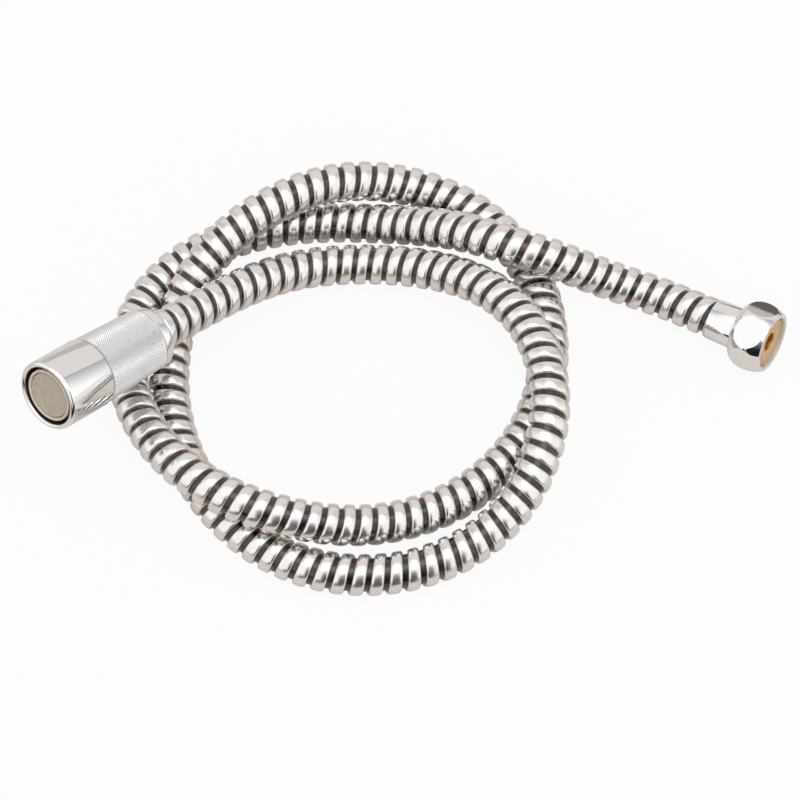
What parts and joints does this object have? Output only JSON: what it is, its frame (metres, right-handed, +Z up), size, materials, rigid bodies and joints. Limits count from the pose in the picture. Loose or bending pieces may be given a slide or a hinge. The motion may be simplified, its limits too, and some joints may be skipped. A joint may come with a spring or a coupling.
{
  "type": "handheld bath sprayer with hose",
  "caption": "Handheld bath sprayer: a small round spray head with a knurled grip and a polished collar, on a ribbed silver hose that lies in loose loops, with a swivel nut at its far end",
  "frame": {"origin": "On the table, under the front of the outer loop, where the hose rests on its flat underside.", "axes": "+Z is up from the table. +X runs along the table from the spray head's side towards the swivel nut's side. +Y runs along the table away from the front of the loops."},
  "size_m": [0.2872, 0.1798, 0.0689],
  "materials": {
    "polished_chrome": "polished chrome plate",
    "satin_knurl": "satin plate over a fine knurl",
    "spring_steel": "plain steel",
    "turned_brass": "turned brass",
    "silver_ribs": "metallised silver strip wound over a glossy black core",
    "clear_tube": "plain flexible tube",
    "black_rubber": "matt rubber",
    "white_plastic": "moulded plastic",
    "peach_plastic": "moulded plastic",
    "screen_steel": "fine woven wire",
    "tan_washer": "pressed fibre or rubber"
  },
  "bodies": {
    "hose_line": {"hose": "silver_ribs", "inner_tube": "clear_tube", "ferrule": "polished_chrome", "tail_nipple": "turned_brass", "sealing_washer": "tan_washer", "head_nipple": "turned_brass", "nipple_o_ring": "black_rubber", "nipple_clip": "spring_steel", "head_crimp_sleeve": "spring_steel"},
    "head": {"head_body": "turned_brass", "grip_sleeve": "satin_knurl", "rear_ring": "polished_chrome", "collar_o_ring": "black_rubber"},
    "insert": {"insert_ring": "peach_plastic", "spray_screen": "screen_steel", "screen_support": "white_plastic", "diffuser_plate": "white_plastic", "insert_washer": "black_rubber"},
    "collar": {"front_collar": "polished_chrome"},
    "slip": {"slip_ring": "white_plastic"},
    "nut": {"swivel_nut": "polished_chrome"}
  },
  "joints": [
    {"name": "head_swivel", "type": "hinge", "parent": "hose_line", "child": "head", "pos_m": [-0.068, 0.085, 0.034], "axis": [-0.6288, -0.6627, 0.4067], "continuous": true},
    {"name": "insert_out", "type": "slide", "parent": "head", "child": "insert", "axis": [-0.6288, -0.6627, 0.4067], "range_m": [0, 0.0075]},
    {"name": "collar_turn", "type": "hinge", "parent": "insert", "child": "collar", "pos_m": [-0.068, 0.085, 0.034], "axis": [-0.6288, -0.6627, 0.4067], "range_deg": [0, 1800]},
    {"name": "nut_slide", "type": "slide", "parent": "hose_line", "child": "slip", "axis": [0.8441, -0.5072, 0.1736], "range_m": [0, 0.0045]},
    {"name": "nut_spin", "type": "hinge", "parent": "slip", "child": "nut", "pos_m": [0.146, 0.1033, 0.0135], "axis": [0.8441, -0.5072, 0.1736], "continuous": true}
  ],
  "couplings": [
    {"joint": "insert_out", "follows": "collar_turn", "m_per_rad": 0.00023873}
  ]
}
